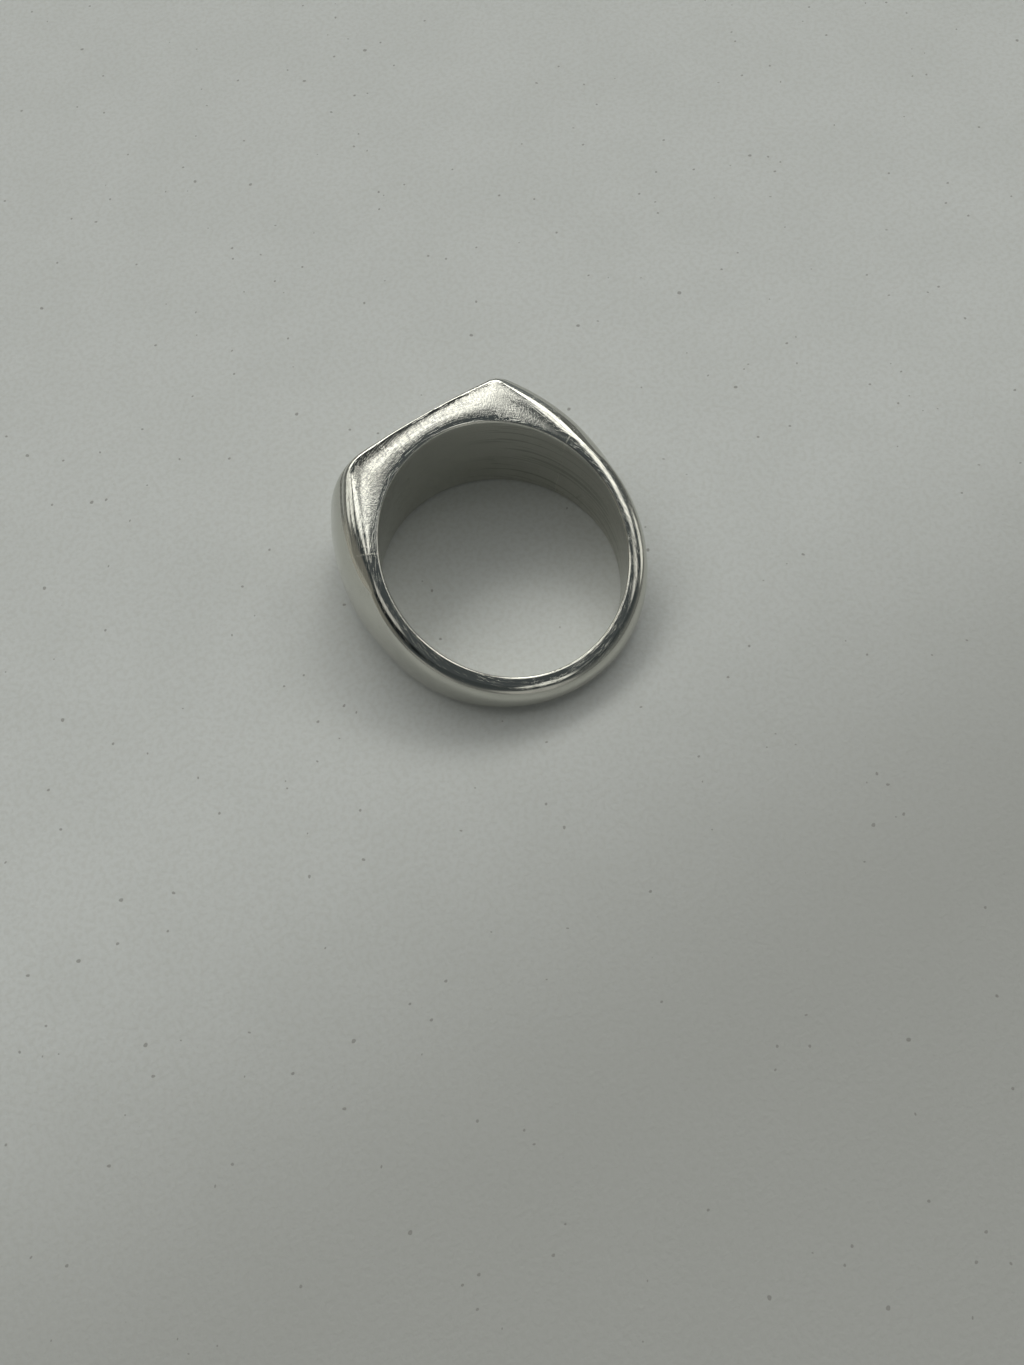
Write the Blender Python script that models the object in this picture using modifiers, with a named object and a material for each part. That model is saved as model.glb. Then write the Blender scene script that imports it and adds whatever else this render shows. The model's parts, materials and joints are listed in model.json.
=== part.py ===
"""Signet ring lying on its side: a solid head soldered to a D-section shank.

The ring is shaped about its own bore: X across the finger, Y along the head's axis, Z along the bore. An empty
on the bore's axis then tips it over until one tapered side wall lies flat on the ground plane.
"""
import math

import bmesh
import bpy

MM = 0.001

# Finger hole.
BORE_RADIUS = 9.7 * MM
OUT_OF_ROUND = 0.019  # share by which the worn ring is stretched along the head's axis and squeezed across it

# Tapered side walls: half the width of the ring at the bore's axis, and how fast it grows towards the head.
HALF_WIDTH_AT_AXIS = 3.65 * MM
SIDE_TAPER = 0.20

# Signet face: its height over the bore's axis, and half its length at the side walls and along its middle.
FACE_HEIGHT = 11.56 * MM
FACE_HALF_LENGTH_SIDE = 6.42 * MM
FACE_HALF_LENGTH_MIDDLE = 8.46 * MM

# Shoulders: the angle from the head's axis where each one runs out into the shank, and how hollow its curve is.
SHOULDER_END_SIDE = math.radians(60.6)
SHOULDER_END_MIDDLE = math.radians(105.5)
SHOULDER_POWER_SIDE = 1.48
SHOULDER_POWER_MIDDLE = 1.62

# Shank: outer radius along its side rim and along its crest, just under the shoulders and at its base.
RIM_RADIUS_TOP = 10.96 * MM
RIM_RADIUS_BASE = 10.47 * MM
CREST_RADIUS_TOP = 11.54 * MM
CREST_RADIUS_BASE = 11.39 * MM

# Solder seams, one on each side, where the shoulder becomes the shank.
SEAM_ANGLE = math.radians(63.5)
SEAM_THICKNESS = 0.3 * MM
JOINT_GAP = 0.3 * MM

EDGE_ROUNDING = 0.15 * MM
EDGE_SEGMENTS = 2
SHARP_EDGE_ANGLE = math.radians(40)
MERGE_DISTANCE = 0.01 * MM

# Fineness of the lofts.
FACE_ROWS = 8
SHOULDER_ROWS = 10
SHANK_ROWS = 26
SEAM_ROWS = 1
DOME_STEPS = 14

# Base colour, roughness and metallic value.
SILVER = ((0.72, 0.71, 0.69, 1.0), 0.16, 1.0)
SHANK_SILVER = ((0.70, 0.69, 0.67, 1.0), 0.14, 1.0)
SOLDER = ((0.66, 0.65, 0.61, 1.0), 0.30, 1.0)


def clear_scene():
    for obj in list(bpy.data.objects):
        bpy.data.objects.remove(obj, do_unlink=True)


def make_material(name, look):
    colour, roughness, metallic = look
    material = bpy.data.materials.new(name)
    material.use_nodes = True
    shader = material.node_tree.nodes["Principled BSDF"]
    shader.inputs["Base Color"].default_value = colour
    shader.inputs["Roughness"].default_value = roughness
    shader.inputs["Metallic"].default_value = metallic
    return material


def mix(start, end, share):
    return start + (end - start) * share


def ease(share):
    """Smooth step from 0 to 1, level at both ends."""
    share = min(max(share, 0.0), 1.0)
    return share * share * (3.0 - 2.0 * share)


def corner_angle(bulge):
    """Angle from the head's axis at which the flat face ends, on the line with this bulge."""
    half_length = mix(FACE_HALF_LENGTH_SIDE, FACE_HALF_LENGTH_MIDDLE, bulge)
    return math.atan2(half_length, FACE_HEIGHT)


def outer_radius(angle, bulge):
    """Distance from the bore's axis to the ring's outside.

    bulge is 0 along the side rim and 1 along the crest. The outside is the flat face up to its corner, then a
    shoulder that falls as a power curve, then the shank, which thins gently down to its base.
    """
    rim_top = mix(RIM_RADIUS_TOP, CREST_RADIUS_TOP, bulge)
    rim_base = mix(RIM_RADIUS_BASE, CREST_RADIUS_BASE, bulge)
    shoulder_end = mix(SHOULDER_END_SIDE, SHOULDER_END_MIDDLE, bulge)
    power = mix(SHOULDER_POWER_SIDE, SHOULDER_POWER_MIDDLE, bulge)
    corner = corner_angle(bulge)
    if angle <= corner:
        return FACE_HEIGHT / math.cos(angle)
    if angle < shoulder_end:
        left = (shoulder_end - angle) / (shoulder_end - corner)
        return rim_top + (FACE_HEIGHT / math.cos(corner) - rim_top) * left ** power
    return mix(rim_top, rim_base, ease((angle - shoulder_end) / (math.pi - shoulder_end)))


def ring_point(angle, radius, lateral):
    """Point at an angle from the head's axis; lateral runs from -1 on one side wall to 1 on the other."""
    across = radius * math.sin(angle) * (1.0 - OUT_OF_ROUND)
    along = radius * math.cos(angle) * (1.0 + OUT_OF_ROUND)
    half_width = HALF_WIDTH_AT_AXIS + SIDE_TAPER * along
    return (across, along, lateral * half_width)


def section(angle_on_line):
    """Closed D-shaped section: two corners on the bore, then the outside from one side rim over to the other."""
    points = []
    rim_angle = angle_on_line(0.0)
    points.append(ring_point(rim_angle, BORE_RADIUS, -1.0))
    points.append(ring_point(rim_angle, BORE_RADIUS, 1.0))
    for step in range(DOME_STEPS + 1):
        turn = math.pi * step / DOME_STEPS
        bulge = math.sin(turn)
        angle = angle_on_line(bulge)
        points.append(ring_point(angle, outer_radius(angle, bulge), math.cos(turn)))
    return points


def head_sections():
    """Sections from the middle of the face, past its corner, down the shoulder to the head's end."""
    head_end = SEAM_ANGLE - (SEAM_THICKNESS / 2 + JOINT_GAP) / BORE_RADIUS
    sections = []
    for row in range(FACE_ROWS):
        sections.append(section(lambda bulge, share=row / FACE_ROWS: share * corner_angle(bulge)))
    for row in range(SHOULDER_ROWS + 1):
        sections.append(section(
            lambda bulge, share=row / SHOULDER_ROWS: mix(corner_angle(bulge), head_end, share)))
    return sections


def even_sections(start, end, rows):
    return [section(lambda bulge, share=row / rows: mix(start, end, share)) for row in range(rows + 1)]


def loft(name, sections, material, close_start, close_end):
    """Skin a row of closed sections, with a cap at each end that asks for one."""
    mesh = bpy.data.meshes.new(name)
    shape = bmesh.new()
    loops = [[shape.verts.new(point) for point in points] for points in sections]
    count = len(loops[0])
    for lower, upper in zip(loops, loops[1:]):
        for k in range(count):
            shape.faces.new((lower[k], lower[(k + 1) % count], upper[(k + 1) % count], upper[k]))
    if close_start:
        shape.faces.new(list(reversed(loops[0])))
    if close_end:
        shape.faces.new(loops[-1])
    bmesh.ops.recalc_face_normals(shape, faces=shape.faces)
    shape.to_mesh(mesh)
    shape.free()
    mesh.materials.append(material)
    return bpy.data.objects.new(name, mesh)


def add_mirror(obj):
    """The other half, across the plane through the head's axis and the bore's axis."""
    modifier = obj.modifiers.new("other half", 'MIRROR')
    modifier.use_axis = (True, False, False)
    modifier.use_clip = True
    modifier.merge_threshold = MERGE_DISTANCE


def add_rounding(obj):
    modifier = obj.modifiers.new("rounded edges", 'BEVEL')
    modifier.width = EDGE_ROUNDING
    modifier.segments = EDGE_SEGMENTS
    modifier.limit_method = 'ANGLE'
    modifier.angle_limit = SHARP_EDGE_ANGLE


def finish(obj, collection, parent):
    add_rounding(obj)
    obj.data.shade_smooth()
    obj.data.set_sharp_from_angle(angle=SHARP_EDGE_ANGLE)
    collection.objects.link(obj)
    obj.parent = parent


def make_head(collection, parent):
    head = loft("signet_head", head_sections(), make_material("signet_head", SILVER), False, True)
    add_mirror(head)
    finish(head, collection, parent)


def make_shank(collection, parent):
    start = SEAM_ANGLE + (SEAM_THICKNESS / 2 + JOINT_GAP) / BORE_RADIUS
    sections = even_sections(start, math.pi, SHANK_ROWS)
    shank = loft("shank", sections, make_material("shank", SHANK_SILVER), True, False)
    add_mirror(shank)
    finish(shank, collection, parent)


def make_solder_joint(name, side, collection, parent):
    half = SEAM_THICKNESS / 2 / BORE_RADIUS
    sections = even_sections(SEAM_ANGLE - half, SEAM_ANGLE + half, SEAM_ROWS)
    sections = [[(side * across, along, lateral) for across, along, lateral in points] for points in sections]
    seam = loft(name, sections, make_material(name, SOLDER), True, True)
    finish(seam, collection, parent)


def lay_on_side(bore_axis, collection):
    """Tip the ring by its taper so that a side wall lies level, and centre it over the origin."""
    tilt = math.atan(SIDE_TAPER)
    bore_axis.rotation_euler = (tilt, 0.0, 0.0)
    bore_axis.location = (0.0, 0.0, HALF_WIDTH_AT_AXIS * math.cos(tilt))
    bpy.context.view_layer.update()
    depsgraph = bpy.context.evaluated_depsgraph_get()
    reach = []
    for obj in collection.objects:
        shown = obj.evaluated_get(depsgraph)
        reach += [(shown.matrix_world @ vertex.co).y for vertex in shown.data.vertices]
    bore_axis.location.y = -(min(reach) + max(reach)) / 2


def main():
    clear_scene()
    ring = bpy.data.collections.new("signet_ring")
    guides = bpy.data.collections.new("guides")
    bpy.context.scene.collection.children.link(ring)
    bpy.context.scene.collection.children.link(guides)
    bore_axis = bpy.data.objects.new("bore_axis", None)
    bore_axis.empty_display_size = BORE_RADIUS
    guides.objects.link(bore_axis)
    make_head(ring, bore_axis)
    make_shank(ring, bore_axis)
    make_solder_joint("solder_joint_right", 1, ring, bore_axis)
    make_solder_joint("solder_joint_left", -1, ring, bore_axis)
    lay_on_side(bore_axis, ring)


main()
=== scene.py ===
import json
import math
import bpy
import numpy as np
from mathutils import Matrix, Vector


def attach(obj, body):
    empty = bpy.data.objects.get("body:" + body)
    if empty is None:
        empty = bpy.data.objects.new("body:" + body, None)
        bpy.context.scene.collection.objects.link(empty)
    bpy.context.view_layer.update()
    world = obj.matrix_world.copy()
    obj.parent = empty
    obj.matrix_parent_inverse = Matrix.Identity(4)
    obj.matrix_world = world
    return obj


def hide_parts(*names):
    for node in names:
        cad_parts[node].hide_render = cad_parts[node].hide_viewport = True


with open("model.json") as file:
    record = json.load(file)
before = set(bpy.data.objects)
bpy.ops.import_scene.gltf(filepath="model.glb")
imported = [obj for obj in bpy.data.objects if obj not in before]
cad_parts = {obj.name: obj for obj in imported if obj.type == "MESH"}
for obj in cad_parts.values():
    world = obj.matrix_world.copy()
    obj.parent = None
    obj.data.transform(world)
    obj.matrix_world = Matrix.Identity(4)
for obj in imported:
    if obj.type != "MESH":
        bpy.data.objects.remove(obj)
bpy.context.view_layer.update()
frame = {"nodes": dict(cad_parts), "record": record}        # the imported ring: its head, its shank and the two solder seams
print("frame loaded:", ", ".join(sorted(frame["nodes"])))

mm = 0.001
scene = bpy.context.scene


# the ring's place, read from the frame
mounts = {mount["name"]: mount for mount in frame["record"]["mounts"]}
faceCentre = np.array(mounts["signet_face"]["pos_m"])
headAxis = np.array(mounts["signet_face"]["axis"])           # out of the signet face, square to the bore
acrossAxis = np.array([1.0, 0.0, 0.0])
boreAxis = np.cross(acrossAxis, headAxis)

# the body of the ring, in millimetres about the bore; half of it, the other half is its mirror image
ringShape = {
    "boreRadius": 9.7,
    "outOfRound": 0.019,          # stretched along the head's axis and squeezed across it by this share
    "halfWidthAtAxis": 3.65,
    "sideTaper": 0.20,            # how fast the half width grows towards the head
    "faceHeight": 11.66,
    "modelFaceHeight": 11.56,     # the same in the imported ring, which places the bore
    "faceHalfSide": 7.10,         # half the face's length along its side edges
    "faceHalfMiddle": 8.46,       # and along its middle
    "shoulderEndSide": math.radians(60.6),
    "shoulderEndMiddle": math.radians(105.5),
    "shoulderPowerSide": 1.48,
    "shoulderPowerMiddle": 1.62,
    "rimTop": 10.96,
    "rimBase": 10.47,
    "crestTop": 11.54,
    "crestBase": 11.39,
    # rounding where the side wall meets the face and the dome, every 15 degrees from the head to the base
    "edgeSizes": (0.13, 0.13, 0.58, 0.60, 0.42, 0.34, 0.30, 0.28, 0.26, 0.24, 0.22, 0.21, 0.20),
    "boreEdgeSize": 0.24,         # rounding of the finger hole's edges
    # slope of the side wall at the bore, every 15 degrees from the head to the base
    "bowIn": (0.12, 0.10, 0.05, 0, 0, 0.02, 0.02, 0, 0, 0, 0.01, 0.01, 0.01),
    "bowOutPower": 1.7,
    "bowInPower": 2.0,
    "cushionPower": 0.72,         # below 1 squares the cushion's ends
    "domeSpacing": 1.25,          # above 1 puts more columns near the rim
    "edgeShareLimit": 0.4,        # the most of a side wall's breadth that its outer rounding takes
    "planeAngleLimit": 1.3,       # keeps the face's plane away from its horizon
    "wrapRadius": 10.7,           # where lengths along the ring are measured
    "handWave": 0.007,            # depth of the unevenness left by filing and buffing
    # each wave's whole turns along the ring, whole turns round its section, and phase
    "waves": ((7, 4, 0.4), (11, -3, 2.1), (17, 7, 4.0), (5, -8, 1.1)),
    "closingGap": 0.05,           # from a section's last column back to its first
}

# what the hand filing left different on the two sides: the rounding of the face's ends, where they
# turn into the shoulders, and the slope of the bowed side wall at its outer edge, every 15 degrees
# from the head to the base
leftSide = {
    "cornerSoftness": 1.25,
    "bow": (0.32, 0.30, 0.28, 0.27, 0.19, 0.22, 0.26, 0.17, 0.13, 0.12, 0.10, 0.12, 0.12),
}
rightSide = {
    "cornerSoftness": 0.75,
    "bow": (0.32, 0.30, 0.28, 0.16, 0.15, 0.30, 0.38, 0.35, 0.24, 0.13, 0.10, 0.12, 0.12),
}

# the solder seams; the right one has a small nick across the edge of the finger hole
seam = {
    "angle": math.radians(63.5),
    "width": 0.09,
    "sink": 0.003,
    "sinkWidth": 0.07,
    "nickDepth": 0.045,
    "nickWidth": 0.075,
    "nickReach": 0.28,
}

gridSteps = {
    # rows along the ring
    "face": 38,
    "shoulder": 62,
    "seam": 4,
    "shank": 112,
    # columns across it
    "bore": 12,
    "bevel": 9,
    "wall": 40,
    "edge": 15,
    "dome": 46,
}


def mixed(a, b, share):
    return a + (b - a) * share


def eased(x):
    x = np.clip(x, 0.0, 1.0)
    return x * x * (3 - 2 * x)


def softMin(a, b, k):
    # the smaller of the two, with the corner between them rounded over a length k
    h = np.clip(0.5 + 0.5 * (b - a) / k, 0.0, 1.0)
    return mixed(b, a, h) - k * h * (1 - h)


def cornerAngle(bulge):
    # angle from the head's axis at which the flat face ends: atan(half length / height)
    s = ringShape
    return np.arctan2(mixed(s["faceHalfSide"], s["faceHalfMiddle"], bulge), s["faceHeight"])


def outerRadius(angle, bulge, cornerBulge, side):
    # the face is a plane, height / cos(angle); the shoulder falls from its corner to the shank as
    # (share of the way left) ** power; the shank thins by a smooth step down to its base
    s = ringShape
    top = mixed(s["rimTop"], s["crestTop"], bulge)
    base = mixed(s["rimBase"], s["crestBase"], bulge)
    end = mixed(s["shoulderEndSide"], s["shoulderEndMiddle"], bulge)
    power = mixed(s["shoulderPowerSide"], s["shoulderPowerMiddle"], bulge)
    corner = cornerAngle(cornerBulge)
    plane = s["faceHeight"] / np.cos(np.minimum(angle, s["planeAngleLimit"]))
    left = np.maximum((end - angle) / (end - corner), 0.0)
    shoulder = top + (s["faceHeight"] / np.cos(corner) - top) * left ** power
    shank = mixed(top, base, eased((angle - end) / (math.pi - end)))
    body = np.where(angle < end, shoulder, shank)
    return softMin(plane, body, side["cornerSoftness"])


def ringPoint(angle, radius, lateral, drop=0.0):
    # polar about the bore, slightly out of round; lateral is the share of the half width, less a drop
    s = ringShape
    x = radius * np.sin(angle) * (1 - s["outOfRound"])
    y = radius * np.cos(angle) * (1 + s["outOfRound"])
    z = lateral * (s["halfWidthAtAxis"] + s["sideTaper"] * y - drop)
    return np.stack(np.broadcast_arrays(x, y, z), axis=-1)


def unit(v):
    return v / np.maximum(np.linalg.norm(v, axis=-1, keepdims=True), 1e-12)


def bridge(startPoint, startWay, endPoint, endWay, steps):
    # quadratic curve between two tangent lines: its middle control point is where the lines pass closest
    a, b = unit(startWay), unit(endWay)
    gap = endPoint - startPoint
    dot = np.sum(a * b, -1, keepdims=True)
    along = np.sum(gap * a, -1, keepdims=True) - dot * np.sum(gap * b, -1, keepdims=True)
    along = along / (1 - dot ** 2 + 1e-9)
    corner = startPoint + a * along
    t = np.linspace(0, 1, steps + 2)[1:-1].reshape(1, -1, 1)
    first, middle, last = (1 - t) ** 2, 2 * t * (1 - t), t ** 2
    return first * startPoint[:, None] + middle * corner[:, None] + last * endPoint[:, None]


def rowShares():
    # rows along the ring: shares of the way through the face, then the shoulder, the seam and the shank
    n = gridSteps
    face = np.sin(np.linspace(0, 1, n["face"] + 1)[:-1] * math.pi / 2)
    shoulder = 1 - np.cos(np.linspace(0, 1, n["shoulder"] + 1)[:-1] * math.pi / 2)
    join = np.linspace(0, 1, n["seam"] + 1)[:-1]
    shank = np.linspace(0, 1, n["shank"] + 1)
    return face, shoulder, join, shank


def rowAngles(corner):
    # the angle of every row, on lines whose flat face ends at these corner angles
    half = seam["width"] / 2 / ringShape["boreRadius"]
    start, end = seam["angle"] - half, seam["angle"] + half
    face, shoulder, join, shank = [shares[:, None] for shares in rowShares()]
    corner = np.atleast_2d(corner)
    parts = [corner * face, mixed(corner, start, shoulder), mixed(start, end, join),
             mixed(end, math.pi, shank)]
    return np.concatenate([np.broadcast_to(part, (part.shape[0], corner.shape[1])) for part in parts])


def alongRing(table, angle):
    # smooth curve past evenly spaced values from the head to the base: a cubic B-spline,
    # mirrored at both ends
    values = np.array((table[1],) + tuple(table) + (table[-2],))
    apart = np.abs(angle[..., None] * (len(table) - 1) / math.pi - np.arange(-1, len(table) + 1))
    near, far = (4 - 6 * apart ** 2 + 3 * apart ** 3) / 6, np.maximum(2 - apart, 0) ** 3 / 6
    return np.where(apart < 1, near, far) @ values


def sideWall(angle, rim, share, side):
    # from the bore (0) to the rim (1) in the plane of the side, bowed down by a power curve
    # towards either end
    s = ringShape
    slopeOut, slopeIn = alongRing(side["bow"], angle), alongRing(s["bowIn"], angle)
    breadth = rim - s["boreRadius"]
    outer, inner = s["bowOutPower"] + 1, s["bowInPower"] + 1
    drop = breadth * (slopeIn * (1 - share) ** inner / inner + slopeOut * share ** outer / outer)
    return ringPoint(angle, s["boreRadius"] + breadth * share, 1.0, drop), drop


def domeWall(rim, rimAngle, endDrop, share, side):
    # from the rim (0) over to the crest (1): half width * cos(turn), with the bulge growing as sin(turn)
    s = ringShape
    halfWidth = s["halfWidthAtAxis"] + s["sideTaper"] * rim * np.cos(rimAngle) - endDrop
    turn = mixed(np.arccos(1 - alongRing(s["edgeSizes"], rimAngle) / halfWidth), math.pi / 2, share)
    spread = np.sin(np.atleast_2d(share) * math.pi / 2) ** s["cushionPower"]
    angle = rowAngles(cornerAngle(spread))
    return ringPoint(angle, outerRadius(angle, np.sin(turn), spread, side), np.cos(turn), endDrop)


def halfRing(side):
    # one half of the skin, rows by columns: bore, bore edge, side wall, outer edge, dome, and back
    # by symmetry
    s, n = ringShape, gridSteps
    angle = rowAngles(cornerAngle(0.0))
    rim = outerRadius(angle, 0.0, 0.0, side)
    breadth = rim - s["boreRadius"]
    first = s["boreEdgeSize"] / breadth
    last = 1 - np.minimum(alongRing(s["edgeSizes"], angle) / breadth, s["edgeShareLimit"])
    step = 0.01
    wall = sideWall(angle, rim, mixed(first, last, np.linspace(0, 1, n["wall"] + 1)[None]), side)[0]
    wallIn = (sideWall(angle, rim, first, side)[0] - sideWall(angle, rim, first + step, side)[0])[:, 0]
    wallOut = (sideWall(angle, rim, last, side)[0] - sideWall(angle, rim, last - step, side)[0])[:, 0]
    endDrop = sideWall(angle, rim, 1.0, side)[1]
    over = np.linspace(0, 1, n["dome"] + 1)[None] ** s["domeSpacing"]
    dome = domeWall(rim, angle, endDrop, over, side)
    domeIn = (domeWall(rim, angle, endDrop, 0.0, side) - domeWall(rim, angle, endDrop, step, side))[:, 0]
    boreHigh = ringPoint(angle, s["boreRadius"], 1.0, s["boreEdgeSize"])[:, 0]
    boreUp = np.broadcast_to([0.0, 0.0, 1.0], boreHigh.shape)
    bevel = bridge(boreHigh, boreUp, wall[:, 0], wallIn, n["bevel"])
    edge = bridge(wall[:, -1], wallOut, dome[:, 0], domeIn, n["edge"])
    rise = np.linspace(0, 1, n["bore"] + 1)
    bore = boreHigh[:, None] * np.stack([np.ones_like(rise), np.ones_like(rise), rise], -1)
    upper = np.concatenate([bore, bevel, wall, edge, dome], axis=1)
    return np.concatenate([upper, upper[:, -2:0:-1] * [1, 1, -1]], axis=1)


def wholeRing():
    # the left half, mirrored, and the right half, as one closed grid of rows round the ring
    left, right = halfRing(leftSide), halfRing(rightSide)
    return np.concatenate([left[-2:0:-1] * [-1, 1, 1], right], axis=0)


def gridNormals(points):
    # cross product of the central differences along rows and columns, both of which close on themselves
    alongRows = np.roll(points, -1, 0) - np.roll(points, 1, 0)
    alongColumns = np.roll(points, -1, 1) - np.roll(points, 1, 1)
    return unit(np.cross(alongRows, alongColumns))


def toFrame(points):
    # from the ring's own axes, in millimetres, to the frame
    s = ringShape
    boreCentre = faceCentre - headAxis * s["modelFaceHeight"] * (1 + s["outOfRound"]) * mm
    return boreCentre + mm * turnToFrame(points)


def turnToFrame(vectors):
    return vectors[..., :1] * acrossAxis + vectors[..., 1:2] * headAxis + vectors[..., 2:] * boreAxis


def closedLengths(points, axis):
    # distance travelled along a closed row or column up to each of its points, in millimetres
    steps = np.linalg.norm(np.roll(points, -1, axis) - points, axis=-1)
    return np.cumsum(steps, axis) - steps


def handFinished(points, normals):
    # sunk a few thousandths by crossed sine waves; the groove at each seam and the nick in the
    # right one fall off as gaussians
    s = ringShape
    turn = np.arctan2(points[..., 0], points[..., 1])
    across = closedLengths(points, 1)
    around = 2 * math.pi * across / (across[:, -1:] + s["closingGap"])
    wave = sum(np.sin(ringTurns * turn + sectionTurns * around + phase)
               for ringTurns, sectionTurns, phase in s["waves"])
    sink = s["handWave"] * (0.5 + 0.5 * wave / len(s["waves"]))
    fromSeam = (np.abs(turn) - seam["angle"]) * s["boreRadius"]
    sink = sink + seam["sink"] * np.exp(-(fromSeam / seam["sinkWidth"]) ** 2)
    column = gridSteps["bore"] + gridSteps["bevel"] // 2
    fromEdge = across - across[:, column:column + 1]
    nick = np.exp(-(fromSeam / seam["nickWidth"]) ** 2 - (fromEdge / seam["nickReach"]) ** 2)
    nick = nick * (turn > 0)
    return points - normals * (sink + seam["nickDepth"] * nick)[..., None]


ringGrid = wholeRing()
ringGrid = handFinished(ringGrid, gridNormals(ringGrid))
ringNormals = gridNormals(ringGrid)
rowsInHalf = gridSteps["face"] + gridSteps["shoulder"] + gridSteps["seam"] + gridSteps["shank"]
headRow = rowsInHalf - 1                                     # the row on the head's axis
seamRow = gridSteps["face"] + gridSteps["shoulder"]          # rows from there to the seam
print("ring skin:", ringGrid.shape[0], "rows by", ringGrid.shape[1], "columns")


# the head's zone ends where the shoulders begin to fade into the shank
zoneEase = {"headEnd": math.radians(62), "headFade": math.radians(24), "columns": 3}


def zoneMasks():
    # where each point lies, eased over a few columns: side wall, finger hole, and the head against
    # the shank
    n, reach = gridSteps, zoneEase["columns"]
    parts = [n["bore"] + 1, n["bevel"], n["wall"] + 1, n["edge"], n["dome"] + 1]
    masks = []
    for wanted in (2, 0):                                    # the side wall's part, then the bore's
        mask = np.repeat(np.arange(len(parts)) == wanted, parts).astype(float)
        ring = np.concatenate([mask, mask[-2:0:-1]])
        masks.append(sum(np.roll(ring, shift) for shift in range(-reach, reach + 1)) / (2 * reach + 1))
    turn = np.abs(np.arctan2(ringGrid[:, :, 0], ringGrid[:, :, 1]))
    head = eased((zoneEase["headEnd"] - turn) / zoneEase["headFade"])
    spread = [np.broadcast_to(mask, turn.shape) for mask in masks]
    return np.stack([*spread, head, np.ones_like(head)], -1)


ringZones = zoneMasks()
ringAcross = closedLengths(ringGrid, 1)
acrossTotal = ringAcross[:, -1] + np.linalg.norm(ringGrid[:, 0] - ringGrid[:, -1], axis=-1)


def gridPiece(name, firstRow, lastRow, material, replaced):
    # the skin between two rows, closed at each end by a fan about the middle of the cut
    rows = np.arange(firstRow, lastRow + 1) % ringGrid.shape[0]
    points, normals = ringGrid[rows], ringNormals[rows]
    count, columns = points.shape[:2]
    index = np.arange(count * columns).reshape(count, columns)
    after = np.roll(index, -1, 1)
    quads = np.stack([index[:-1], index[1:], after[1:], after[:-1]], -1).reshape(-1, 4)
    ends = points[[0, -1]].mean(1)
    startFan = np.stack([index[0], after[0], np.full(columns, index.size)], -1)
    endFan = np.stack([after[-1], index[-1], np.full(columns, index.size + 1)], -1)
    verts = toFrame(np.concatenate([points.reshape(-1, 3), ends]))
    mesh = bpy.data.meshes.new(name)
    mesh.from_pydata(verts.tolist(), [], quads.tolist() + startFan.tolist() + endFan.tolist())
    smooth = turnToFrame(normals.reshape(-1, 3))[quads.ravel()]
    caps = np.stack([(points[0] - points[1]).mean(0), (points[-1] - points[-2]).mean(0)])
    capNormals = np.repeat(unit(turnToFrame(caps)), columns * 3, axis=0)
    loopNormals = np.concatenate([smooth, capNormals])
    # lengths along the ring and, on both halves alike, from the bore's middle towards the dome's,
    # in millimetres as a UV map; the zones as a colour attribute
    u = np.unwrap(2 * math.pi * rows / ringGrid.shape[0]) * ringShape["wrapRadius"]
    total = acrossTotal[rows][:, None]
    v = np.concatenate([ringAcross[rows], total], 1)
    v = np.minimum(v, total - v)
    uv = np.stack([np.broadcast_to(u[:, None], v.shape), v], -1)
    corners = np.stack([uv[:-1, :-1], uv[1:, :-1], uv[1:, 1:], uv[:-1, 1:]], 2).reshape(-1, 2)
    uv = np.concatenate([corners, np.zeros((columns * 6, 2))]).astype(np.float32)
    mesh.uv_layers.new(name="skin").data.foreach_set("uv", uv.ravel())
    zones = np.concatenate([ringZones[rows].reshape(-1, 4), np.zeros((2, 4))]).astype(np.float32)
    mesh.attributes.new("zones", "FLOAT_COLOR", "POINT").data.foreach_set("color", zones.ravel())
    mesh.shade_smooth()
    mesh.normals_split_custom_set(loopNormals.tolist())
    mesh.materials.append(material)
    piece = bpy.data.objects.new(name, mesh)
    scene.collection.objects.link(piece)
    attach(piece, "root")
    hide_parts(replaced)
    print("made", name, "with", len(mesh.polygons), "faces")


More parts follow.
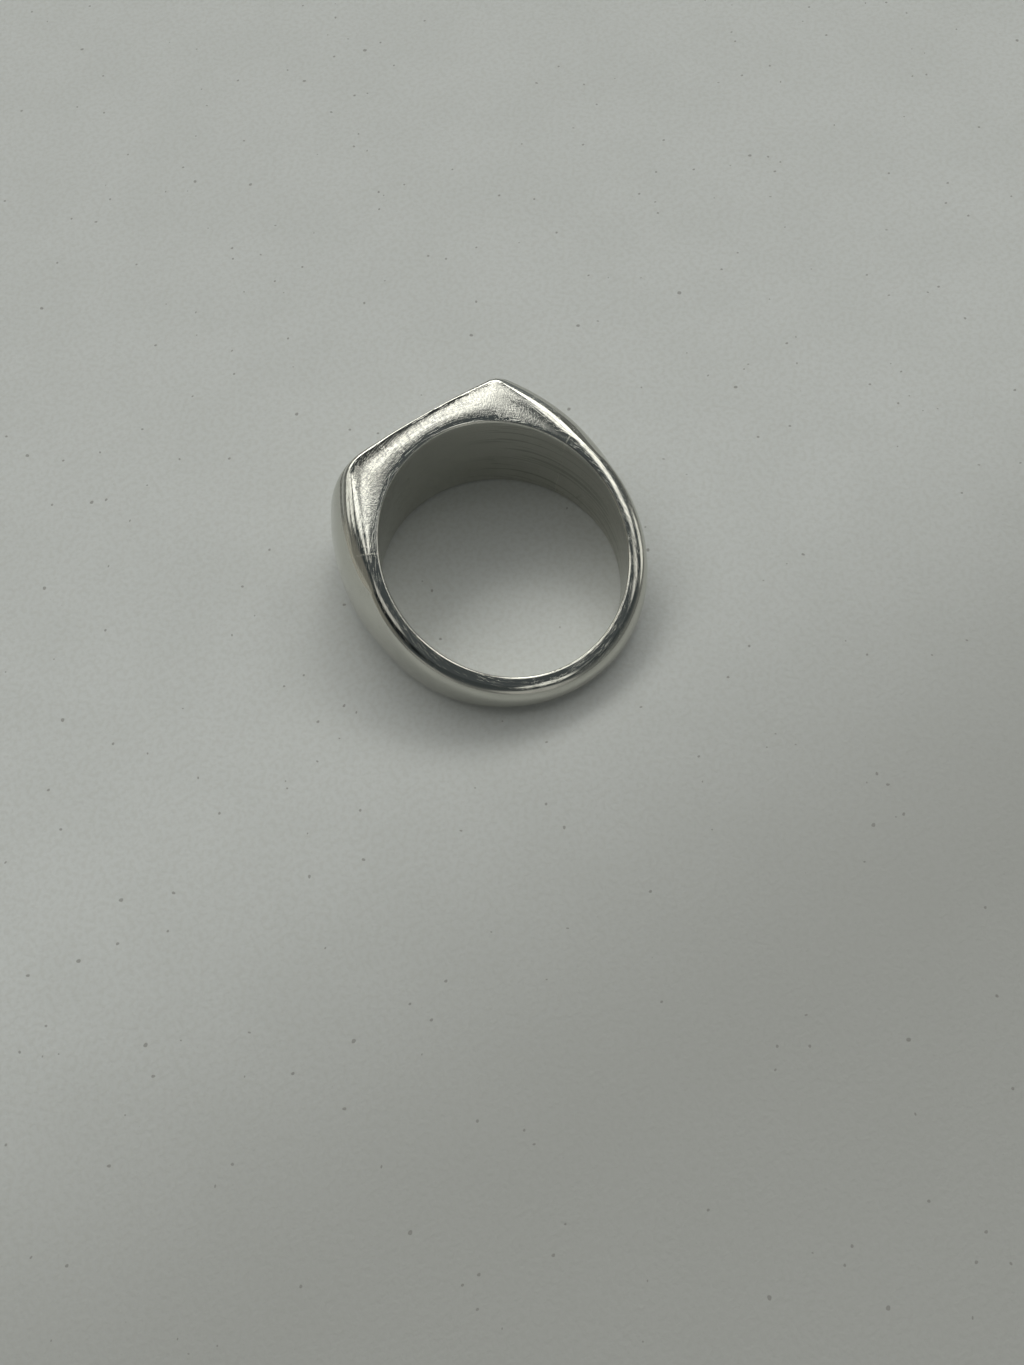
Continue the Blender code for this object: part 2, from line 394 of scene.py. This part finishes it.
class Graph:
    # shorthand for building node trees: a number or a tuple sets a socket, a socket is linked to it
    def __init__(self, tree):
        self.tree = tree

    def add(self, kind, inputs=None, **settings):
        node = self.tree.nodes.new(kind)
        for key, value in settings.items():
            setattr(node, key, value)
        for key, value in (inputs or {}).items():
            self.put(value, node.inputs[key])
        return node

    def put(self, value, socket):
        if isinstance(value, bpy.types.NodeSocket):
            self.tree.links.new(value, socket)
        else:
            socket.default_value = value

    def math(self, operation, a, b):
        return self.add("ShaderNodeMath", {0: a, 1: b}, operation=operation).outputs[0]

    def dot(self, vector, way):
        inputs = {0: vector, 1: way}
        return self.add("ShaderNodeVectorMath", inputs, operation="DOT_PRODUCT").outputs["Value"]

    def split(self, vector):
        return self.add("ShaderNodeSeparateXYZ", {"Vector": vector}).outputs

    def place(self):
        # the point on the surface, in millimetres in the frame
        point = self.add("ShaderNodeTexCoord").outputs["Object"]
        return self.add("ShaderNodeVectorMath", {0: point, "Scale": 1 / mm}, operation="SCALE").outputs[0]

    def ease(self, value, low, high):
        inputs = {"Value": value, "From Min": low, "From Max": high}
        return self.add("ShaderNodeMapRange", inputs, interpolation_type="SMOOTHSTEP").outputs["Result"]

    def noise(self, vector, scale, detail=2.0, stretch=None, turn=0.0):
        if stretch:
            inputs = {"Vector": vector, "Rotation": (0.0, 0.0, turn), "Scale": stretch}
            vector = self.add("ShaderNodeMapping", inputs).outputs[0]
        inputs = {"Vector": vector, "Scale": scale, "Detail": detail}
        return self.add("ShaderNodeTexNoise", inputs, noise_dimensions="3D").outputs[0]

    def mixColour(self, share, a, b):
        mix = self.add("ShaderNodeMix", {"Factor": share}, data_type="RGBA")
        for name, colour in (("A", a), ("B", b)):
            self.put((*colour, 1) if isinstance(colour, tuple) else colour, mix.inputs[name])
        return mix.outputs["Result"]

    def tint(self, colour, mask, tone):
        # a tone laid over the colour by its share of the mask
        return self.mixColour(self.math("MULTIPLY", mask, tone["share"]), colour, tone["colour"])

    def bump(self, height, shader):
        # height in millimetres
        node = self.add("ShaderNodeBump", {"Strength": 1.0, "Distance": mm, "Height": height})
        self.put(node.outputs["Normal"], shader.inputs["Normal"])


def newGroup(name, inputs, outputs):
    tree = bpy.data.node_groups.new(name, "ShaderNodeTree")
    for way, sockets in (("INPUT", inputs), ("OUTPUT", outputs)):
        for socketName, kind in sockets:
            tree.interface.new_socket(socketName, in_out=way, socket_type=kind)
    graph = Graph(tree)
    return graph, graph.add("NodeGroupInput").outputs, graph.add("NodeGroupOutput").inputs


def newMaterial(name):
    material = bpy.data.materials.new(name)
    material.use_nodes = True
    return material, Graph(material.node_tree), material.node_tree.nodes["Principled BSDF"]


# the marks that wear and buffing leave: stretches and sizes per millimetre, and the noise values
# between which each comes in
marks = {
    "scratchStretch": (0.55, 9.0, 1.0),
    "scratchTurns": (0.35, 1.25, -0.75, 2.2),
    "scratchSize": 1.0,
    "scratchSizeStep": 0.13,
    "scratchFrom": 0.625,
    "scratchTo": 0.665,
    "scratchLeast": 0.3,          # strength of the scratches between the patches where they gather
    "patchSize": 0.7,
    "patchFrom": 0.42,
    "patchTo": 0.62,
    "buffStretch": (0.07, 4.5, 0.3),
    "grainStretch": (7.5, 4.5, 1.0),
    "hazeSize": 0.55,
    "hazeFrom": 0.35,
    "hazeTo": 0.7,
}


def makeHandlingMarks():
    # thin scratches in four directions, lines left by the buff along the ring, satin grain and
    # patches of haze
    outputs = [(name, "NodeSocketFloat") for name in ("Scratches", "Buffing", "Grain", "Haze")]
    inputs = [("Skin", "NodeSocketVector"), ("Place", "NodeSocketVector")]
    graph, given, out = newGroup("handling_marks", inputs, outputs)
    m = marks
    scratches = None
    for index, turn in enumerate(m["scratchTurns"]):
        size = m["scratchSize"] + m["scratchSizeStep"] * index
        lines = graph.noise(given["Skin"], size, 1.0, m["scratchStretch"], turn)
        lines = graph.ease(lines, m["scratchFrom"], m["scratchTo"])
        scratches = lines if scratches is None else graph.math("MAXIMUM", scratches, lines)
    patches = graph.ease(graph.noise(given["Place"], m["patchSize"], 1.0), m["patchFrom"], m["patchTo"])
    strength = graph.math("MULTIPLY", patches, 1 - m["scratchLeast"])
    strength = graph.math("ADD", strength, m["scratchLeast"])
    graph.put(graph.math("MULTIPLY", scratches, strength), out["Scratches"])
    graph.put(graph.noise(given["Skin"], 1.0, 2.0, m["buffStretch"]), out["Buffing"])
    graph.put(graph.noise(given["Skin"], 1.0, 2.0, m["grainStretch"]), out["Grain"])
    haze = graph.noise(given["Place"], m["hazeSize"], 3.0)
    graph.put(graph.ease(haze, m["hazeFrom"], m["hazeTo"]), out["Haze"])
    return graph.tree


# what is laid over the silver's own colour, with the most that each mask can lay
silverTones = {
    "drift": {"colour": (0.88, 0.85, 0.765), "share": 0.35},
    "haze": {"colour": (0.70, 0.71, 0.70), "share": 0.12},
    "outside": {"colour": (0.54, 0.54, 0.495), "share": 0.8},
    # painted shade: the dome and outer edges darkened where they reflect the shadowed floor
    "pits": {"colour": (0.50, 0.50, 0.49), "share": 0.55},
    # painted shade: the finger hole darkened to olive, standing in for the shadowed hole it reflects
    "bore": {"colour": (0.62, 0.62, 0.555), "share": 0.75},
    # painted reflection: dark streaks along the right of the finger hole, over the buffing lines
    "boreLineDepthAndShade": {"colour": (0.30, 0.30, 0.27), "share": 0.5},
    "driftSize": 0.22,
    "driftRange": (0.35, 0.65),
    "pitRange": (0.46, 0.60),
    "boreShadeRange": (0.15, 0.9),
    "paintedLineRange": (0.55, 0.62),
    "paintedLineSide": (1.5, 6.0),       # the lines come in between these millimetres right of the middle
}


def makeSilverColour():
    # silver drifting between a cooler and a warmer tone, with painted shade over it: darkened a little
    # outside, where the dome reflects the shadowed floor, and to olive inside the finger hole, which
    # reflects the shadowed hole, and painted dark reflection lines along the right of the hole
    masks = ("Bore", "OutsideShade", "Haze", "Buffing", "Satin", "Grain")
    inputs = [("Place", "NodeSocketVector"), ("Silver", "NodeSocketColor")]
    inputs += [(name, "NodeSocketFloat") for name in masks]
    graph, given, out = newGroup("silver_colour", inputs, [("Colour", "NodeSocketColor")])
    tones = silverTones
    drift = graph.ease(graph.noise(given["Place"], tones["driftSize"], 2.0), *tones["driftRange"])
    colour = graph.tint(given["Silver"], drift, tones["drift"])
    colour = graph.tint(colour, given["Haze"], tones["haze"])
    # painted shade on the dome and outer edges
    colour = graph.tint(colour, given["OutsideShade"], tones["outside"])
    pits = graph.math("MULTIPLY", graph.ease(given["Grain"], *tones["pitRange"]), given["Satin"])
    colour = graph.tint(colour, pits, tones["pits"])
    # painted shade inside the finger hole
    boreShade = graph.ease(given["Bore"], *tones["boreShadeRange"])
    colour = graph.tint(colour, boreShade, tones["bore"])
    # painted reflection: dark lines on the right of the bore, masked by the buffing noise
    rightwards = graph.ease(graph.split(given["Place"])["X"], *tones["paintedLineSide"])
    lines = graph.ease(given["Buffing"], *tones["paintedLineRange"])
    lines = graph.math("MULTIPLY", lines, graph.math("MULTIPLY", boreShade, rightwards))
    graph.put(graph.tint(colour, lines, tones["boreLineDepthAndShade"]), out["Colour"])
    return graph.tree


handlingMarks = makeHandlingMarks()
silverColour = makeSilverColour()


# where the masks come in, and what a scratch adds to the roughness
silverMasks = {"outside": (0.6, 1.0), "satin": (0.75, 1.0), "scratchRoughness": 0.10}


def silverMaterial(name, look):
    material, graph, shader = newMaterial(name)
    place = graph.place()
    # along and round the skin, with the height as a third axis so that the two halves differ
    skin = graph.split(graph.add("ShaderNodeUVMap", uv_map="skin").outputs[0])
    skin = {0: skin["X"], 1: skin["Y"], 2: graph.split(place)["Z"]}
    skin = graph.add("ShaderNodeCombineXYZ", skin).outputs[0]
    zones = graph.add("ShaderNodeAttribute", attribute_name="zones").outputs["Color"]
    zone = graph.add("ShaderNodeSeparateColor", {"Color": zones}).outputs
    worn = graph.add("ShaderNodeGroup", {"Skin": skin, "Place": place}, node_tree=handlingMarks).outputs
    # the dome and outer edges, neither side wall nor bore: where the painted shade is laid
    outside = graph.math("SUBTRACT", 1.0, graph.math("ADD", zone["Red"], zone["Green"]))
    outside = graph.ease(outside, *silverMasks["outside"])
    # satin only on the head's side walls, strongest along their middle
    satin = graph.math("MULTIPLY", graph.ease(zone["Red"], *silverMasks["satin"]), zone["Blue"])
    inputs = {"Place": place, "Silver": (*look["colour"], 1), "Bore": zone["Green"], "OutsideShade": outside,
              "Haze": worn["Haze"], "Buffing": worn["Buffing"], "Satin": satin, "Grain": worn["Grain"]}
    shade = graph.add("ShaderNodeGroup", inputs, node_tree=silverColour).outputs["Colour"]
    graph.put(shade, shader.inputs["Base Color"])
    shader.inputs["Metallic"].default_value = 1.0

    rough = look["roughness"]
    for mask, share in ((satin, look["satin"]), (worn["Haze"], look["haze"]),
                        (worn["Scratches"], silverMasks["scratchRoughness"]),
                        (zone["Green"], look["boreRoughness"])):
        rough = graph.math("ADD", rough, graph.math("MULTIPLY", mask, share))
    graph.put(rough, shader.inputs["Roughness"])

    grain = graph.math("MULTIPLY", worn["Grain"], graph.math("MULTIPLY", satin, look["grainDepth"]))
    scratches = graph.math("MULTIPLY", worn["Scratches"], look["scratchDepth"])
    lineDepth = graph.math("MULTIPLY", zone["Green"], look["boreLineDepthAndShade"])
    lineDepth = graph.math("ADD", look["buffDepth"], lineDepth)
    lines = graph.math("MULTIPLY", worn["Buffing"], lineDepth)
    graph.bump(graph.math("ADD", graph.math("SUBTRACT", grain, scratches), lines), shader)
    return material


# depths in millimetres; satin, haze and the bore add these roughnesses where their masks are full
headLook = {
    "colour": (0.84, 0.835, 0.79),
    "roughness": 0.04,
    "satin": 0.055,
    "haze": 0.03,
    "boreRoughness": 0.09,
    "grainDepth": 0.0065,
    "scratchDepth": 0.0035,
    "buffDepth": 0.0012,
    "boreLineDepthAndShade": 0.010,
}
shankLook = {**headLook, "colour": (0.80, 0.79, 0.74), "roughness": 0.035, "scratchDepth": 0.0028}
solderLook = {
    **headLook,
    "colour": (0.86, 0.85, 0.78),
    "roughness": 0.14,
    "satin": 0.08,
    "haze": 0.10,
    "grainDepth": 0.005,
    "scratchDepth": 0.0015,
}
headSilver = silverMaterial("head_silver", headLook)
shankSilver = silverMaterial("shank_silver", shankLook)
solderSilver = silverMaterial("solder", solderLook)
print("silver materials made")

leftSeam, rightSeam = headRow - seamRow, headRow + seamRow
leftShank, rightShank = leftSeam - gridSteps["seam"], rightSeam + gridSteps["seam"]
gridPiece("signet_head_skin", leftSeam, rightSeam, headSilver, "signet_head")
gridPiece("shank_skin", rightShank, leftShank + len(ringGrid), shankSilver, "shank")
gridPiece("solder_right_skin", rightSeam, rightShank, solderSilver, "solder_joint_right")
gridPiece("solder_left_skin", leftShank, leftSeam, solderSilver, "solder_joint_left")


# pale paper with a painted shadow that darkens it behind the ring; sizes per millimetre, ranges in noise
# values, the shadow's in millimetres
floorLook = {
    "halfSize": 1.0,
    "colour": (0.69, 0.71, 0.715),
    "roughness": 0.85,
    "clouds": {"colour": (0.65, 0.67, 0.67), "share": 0.45},
    "fibres": {"colour": (0.52, 0.52, 0.49), "share": 0.24},
    # painted shadow laid over the paper along its way
    "paintedShadow": {"colour": (0.40, 0.405, 0.395), "share": 0.80},
    "specks": {"colour": (0.22, 0.21, 0.20), "share": 0.6},
    "cloudSize": 0.13,
    "cloudRange": (0.35, 0.65),
    "fibreSize": 2.4,
    "fibreRange": (0.40, 0.66),
    "fibreDepth": 0.05,
    "paintedShadowWay": (-0.03, -1.0, 0.0),
    "paintedShadowRange": (2.0, 42.0),
    "speckSize": 1.7,
    "speckRange": (0.832, 0.85),
}


def makeFloor():
    look = floorLook
    half = look["halfSize"]
    corners = [(-half, -half, 0), (half, -half, 0), (half, half, 0), (-half, half, 0)]
    mesh = bpy.data.meshes.new("paper_floor")
    mesh.from_pydata(corners, [], [(0, 1, 2, 3)])
    material, graph, shader = newMaterial("paper")
    place = graph.place()
    clouds = graph.ease(graph.noise(place, look["cloudSize"], 4.0), *look["cloudRange"])
    colour = graph.tint(look["colour"], clouds, look["clouds"])
    fibres = graph.noise(place, look["fibreSize"], 4.0)
    colour = graph.tint(colour, graph.ease(fibres, *look["fibreRange"]), look["fibres"])
    # painted shadow: the paper darker the farther along its way
    away = graph.dot(place, look["paintedShadowWay"])
    colour = graph.tint(colour, graph.ease(away, *look["paintedShadowRange"]), look["paintedShadow"])
    specks = graph.noise(place, look["speckSize"], 0.0)
    colour = graph.tint(colour, graph.ease(specks, *look["speckRange"]), look["specks"])
    graph.put(colour, shader.inputs["Base Color"])
    shader.inputs["Roughness"].default_value = look["roughness"]
    graph.bump(graph.math("MULTIPLY", fibres, look["fibreDepth"]), shader)
    mesh.materials.append(material)
    floor = bpy.data.objects.new("paper_floor", mesh)
    scene.collection.objects.link(floor)


makeFloor()
print("floor made")

# what the room sends down: a grey that falls off towards the zenith, and soft patches painted over
# it in turn, each with its direction, inner and outer radius in degrees, strength and colour
warm, cool, olive = (1.0, 1.0, 0.93), (0.90, 1.0, 1.02), (1.0, 0.98, 0.86)
room = {
    "brightness": 1.10,
    "horizon": (0.175, 0.180, 0.170),
    "zenith": (0.050, 0.058, 0.060),
    "fallFrom": 0.25,
    "fallTo": 0.70,
    "patches": [
        # the window's broad arc of soft light, and the grey of its frame
        ((0.46, 0.46, 0.76), 8, 18, 3.9, warm),
        ((0.20, 0.62, 0.76), 8, 18, 3.9, warm),
        ((-0.20, 0.64, 0.74), 5, 16, 2.2, warm),
        ((0.71, 0.08, 0.70), 5, 10.5, 2.6, warm),
        ((0.80, 0.46, 0.40), 10, 16, 0.22, cool),
        ((0.62, 0.68, 0.40), 7, 13, 0.26, cool),
        # a dull wall to the left, with a dark shape before it
        ((-0.90, 0.35, 0.15), 10, 24, 0.38, olive),
        ((-0.34, -0.30, 0.89), 8, 15, 0.014, cool),
        ((-0.78, 0.02, 0.62), 12, 24, 0.19, olive),
        # overhead light with its dark gaps
        ((0.28, 0.06, 0.96), 8.0, 17.0, 1.25, warm),
        ((0.58, -0.11, 0.81), 1.1, 8.3, 1.15, warm),
        ((0.55, -0.25, 0.80), 2.5, 7.5, 1.15, warm),
        ((0.44, -0.39, 0.81), 0.6, 4.9, 0.65, warm),
        ((0.43, -0.11, 0.89), 3.5, 6.5, 0.07, cool),
        ((-0.09, -0.26, 0.96), 2.5, 5.5, 0.45, warm),
        ((0.10, 0.13, 0.99), 3.0, 9.5, 0.030, cool),
        ((0.20, 0.37, 0.91), 10.0, 14.0, 0.035, cool),
        ((0.33, 0.40, 0.85), 6.0, 9.5, 0.035, cool),
        ((0.12, -0.07, 0.99), 3.5, 6.8, 1.20, warm),
        ((0.04, -0.11, 0.99), 3.0, 4.6, 1.20, warm),
        ((-0.13, 0.00, 0.99), 4.0, 7.0, 1.20, warm),
        ((-0.02, -0.04, 1.00), 1.8, 3.4, 0.12, cool),
        ((-0.36, 0.20, 0.91), 5.0, 9.0, 1.20, warm),
        # bright things lower down the room
        ((-0.50, 0.48, 0.72), 9, 17, 1.1, warm),
        ((0.14, -0.65, 0.75), 3, 7, 1.1, warm),
        ((0.80, -0.39, 0.45), 5, 12, 1.0, warm),
        ((-0.83, -0.50, 0.26), 8, 18, 0.30, warm),
        ((-0.10, -0.96, 0.25), 10, 22, 0.42, warm),
    ],
}


def makeRoomLight():
    world = bpy.data.worlds.new("studio")
    scene.world = world
    world.use_nodes = True
    graph = Graph(world.node_tree)
    way = graph.add("ShaderNodeTexCoord").outputs["Generated"]
    fall = graph.ease(graph.split(way)["Z"], room["fallFrom"], room["fallTo"])
    light = graph.mixColour(fall, room["horizon"], room["zenith"])
    for direction, inner, outer, strength, colour in room["patches"]:
        near = graph.dot(way, Vector(direction).normalized())
        share = graph.ease(near, math.cos(math.radians(outer)), math.cos(math.radians(inner)))
        light = graph.mixColour(share, light, tuple(strength * c for c in colour))
    background = world.node_tree.nodes["Background"]
    graph.put(light, background.inputs["Color"])
    graph.put(room["brightness"], background.inputs["Strength"])


makeRoomLight()
print("room light made")

scene.view_settings.view_transform = "Standard"

# lengths in millimetres, angles in degrees
viewpoint = {
    "aim": (-4.3, -8.05, 0.0),
    "azimuth": -28.5,
    "elevation": 63.2,
    "roll": -6.15,
    "distance": 117.4,
    "lens": 39.56,
    "nearest": 0.001,             # metres, as is the next
    "farthest": 10.0,
}


def makeCamera():
    v = viewpoint
    azimuth, elevation = math.radians(v["azimuth"]), math.radians(v["elevation"])
    level = math.cos(elevation)
    back = Vector((math.sin(azimuth) * level, -math.cos(azimuth) * level, math.sin(elevation)))
    camera = bpy.data.objects.new("camera", bpy.data.cameras.new("camera"))
    camera.data.lens = v["lens"]
    camera.data.clip_start, camera.data.clip_end = v["nearest"], v["farthest"]
    turn = (-back).to_track_quat("-Z", "Y").to_matrix() @ Matrix.Rotation(math.radians(v["roll"]), 3, "Z")
    camera.matrix_world = Matrix.Translation((Vector(v["aim"]) + back * v["distance"]) * mm) @ turn.to_4x4()
    scene.collection.objects.link(camera)
    scene.camera = camera


makeCamera()
